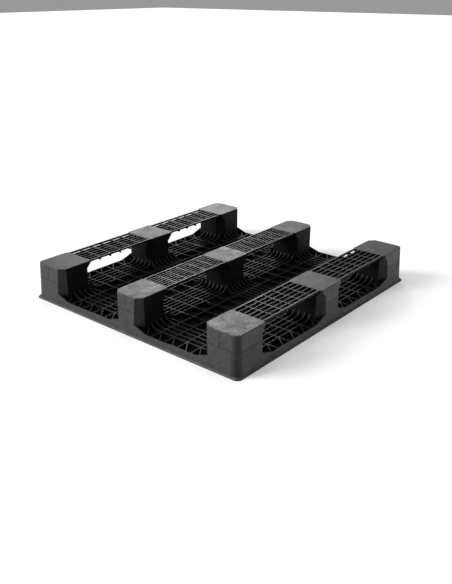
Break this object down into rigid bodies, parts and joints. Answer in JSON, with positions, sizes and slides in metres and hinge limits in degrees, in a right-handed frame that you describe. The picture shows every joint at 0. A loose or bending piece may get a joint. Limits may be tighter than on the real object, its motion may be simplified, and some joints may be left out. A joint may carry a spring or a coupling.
{
  "type": "plastic pallet",
  "caption": "Rackable black plastic pallet, four-way entry, lying on its load face: ribbed deck, octagonal legs in rows, open-grid runners joined across the legs, screwed at the seams.",
  "frame": {"origin": "centre of the load face's rim, on the plane the pallet lies on", "axes": "+X along the runners, towards the back legs; +Y across them to the left runner; +Z from the load face up to the runners' ground faces"},
  "size_m": [1.219, 1.143, 0.165],
  "materials": {
    "deck": "matt black recycled polyolefin, faintly mottled",
    "runner_left": "matt black recycled polyolefin, faintly mottled",
    "runner_middle": "matt black recycled polyolefin, faintly mottled",
    "runner_right": "matt black recycled polyolefin, faintly mottled",
    "screws": "zinc-plated steel"
  },
  "bodies": {
    "root": {"deck": "deck", "runner_left": "runner_left", "runner_middle": "runner_middle", "runner_right": "runner_right", "screws_front_left": "screws", "screws_front_middle": "screws", "screws_front_right": "screws", "screws_centre_left": "screws", "screws_centre_middle": "screws", "screws_centre_right": "screws", "screws_back_left": "screws", "screws_back_middle": "screws", "screws_back_right": "screws"}
  },
  "joints": []
}
